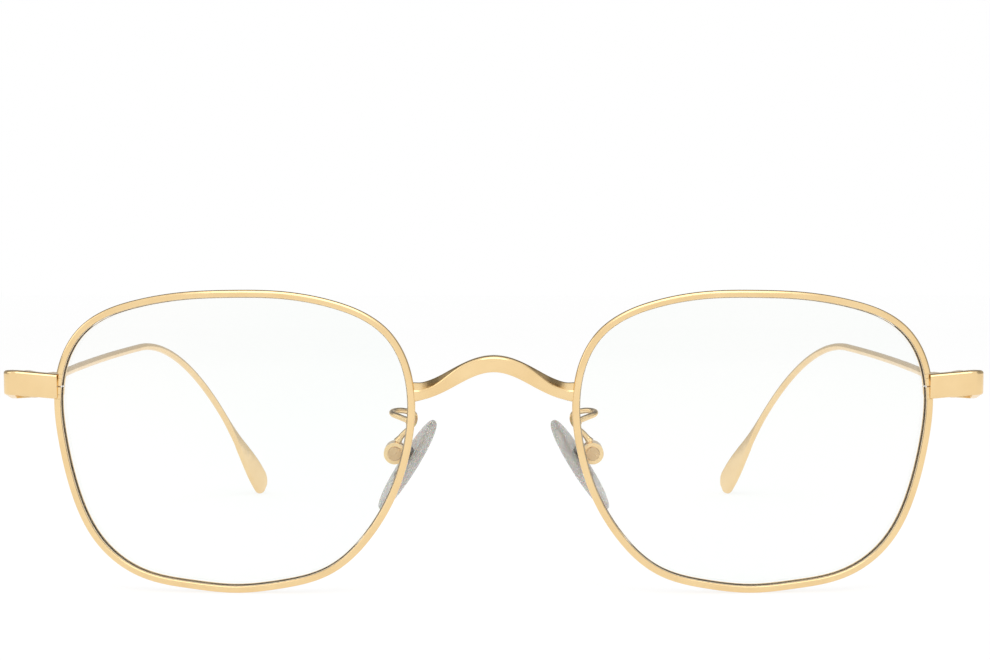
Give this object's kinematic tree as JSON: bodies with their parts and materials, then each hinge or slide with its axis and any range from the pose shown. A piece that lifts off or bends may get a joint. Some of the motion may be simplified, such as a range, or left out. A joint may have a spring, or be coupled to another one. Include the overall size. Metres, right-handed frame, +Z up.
{
  "type": "eyeglasses",
  "caption": "Eyeglasses with thin gold metal rims, clear curved lenses, a saddle bridge, rocking silicone nose pads and wire temples with flattened tips that fold on screw hinges.",
  "frame": {"origin": "centre of the bounding box in X and Y, on the table plane that the rims and temple tips stand on", "axes": "+Z up; the front of the glasses faces -Y and the open temples run to +Y; +X is the wearer's left"},
  "size_m": [0.1336, 0.1444, 0.0412],
  "materials": {
    "gold": "polished gold plate on nickel silver wire",
    "gold_screw": "gold-plated screws with turned heads",
    "insert_steel": "plain stainless nose pad insert",
    "pad_silicone": "soft translucent silicone, slightly smoky",
    "lens": "clear, thinly coated against reflections"
  },
  "bodies": {
    "front": {"bridge": "gold", "rim_left": "gold", "rim_right": "gold", "lens_left": "lens", "lens_right": "lens", "closing_block_left": "gold", "closing_block_right": "gold", "closing_screw_left": "gold_screw", "closing_screw_right": "gold_screw", "pad_arm_left": "gold", "pad_arm_right": "gold", "pad_box_left": "gold", "pad_box_right": "gold", "pad_screw_left": "gold_screw", "pad_screw_right": "gold_screw", "end_piece_left": "gold", "end_piece_right": "gold", "hinge_screw_left": "gold_screw", "hinge_screw_right": "gold_screw"},
    "left_temple": {"temple_left": "gold"},
    "right_temple": {"temple_right": "gold"},
    "left_pad": {"nose_pad_left": "pad_silicone", "pad_insert_left": "insert_steel"},
    "right_pad": {"nose_pad_right": "pad_silicone", "pad_insert_right": "insert_steel"}
  },
  "joints": [
    {"name": "left_temple_fold", "type": "hinge", "parent": "front", "child": "left_temple", "pos_m": [0.06377, -0.05968, 0.02792], "axis": [0, -0.0454, 0.999], "range_deg": [0, 84]},
    {"name": "right_temple_fold", "type": "hinge", "parent": "front", "child": "right_temple", "pos_m": [-0.06377, -0.05968, 0.02792], "axis": [0, 0.0454, -0.999], "range_deg": [0, 76]},
    {"name": "left_pad_rock", "type": "hinge", "parent": "front", "child": "left_pad", "pos_m": [0.0137, -0.06061, 0.01878], "axis": [0, 0.9962, 0.0872], "range_deg": [-10, 10]},
    {"name": "right_pad_rock", "type": "hinge", "parent": "front", "child": "right_pad", "pos_m": [-0.0137, -0.06061, 0.01878], "axis": [0, -0.9962, -0.0872], "range_deg": [-10, 10]}
  ]
}
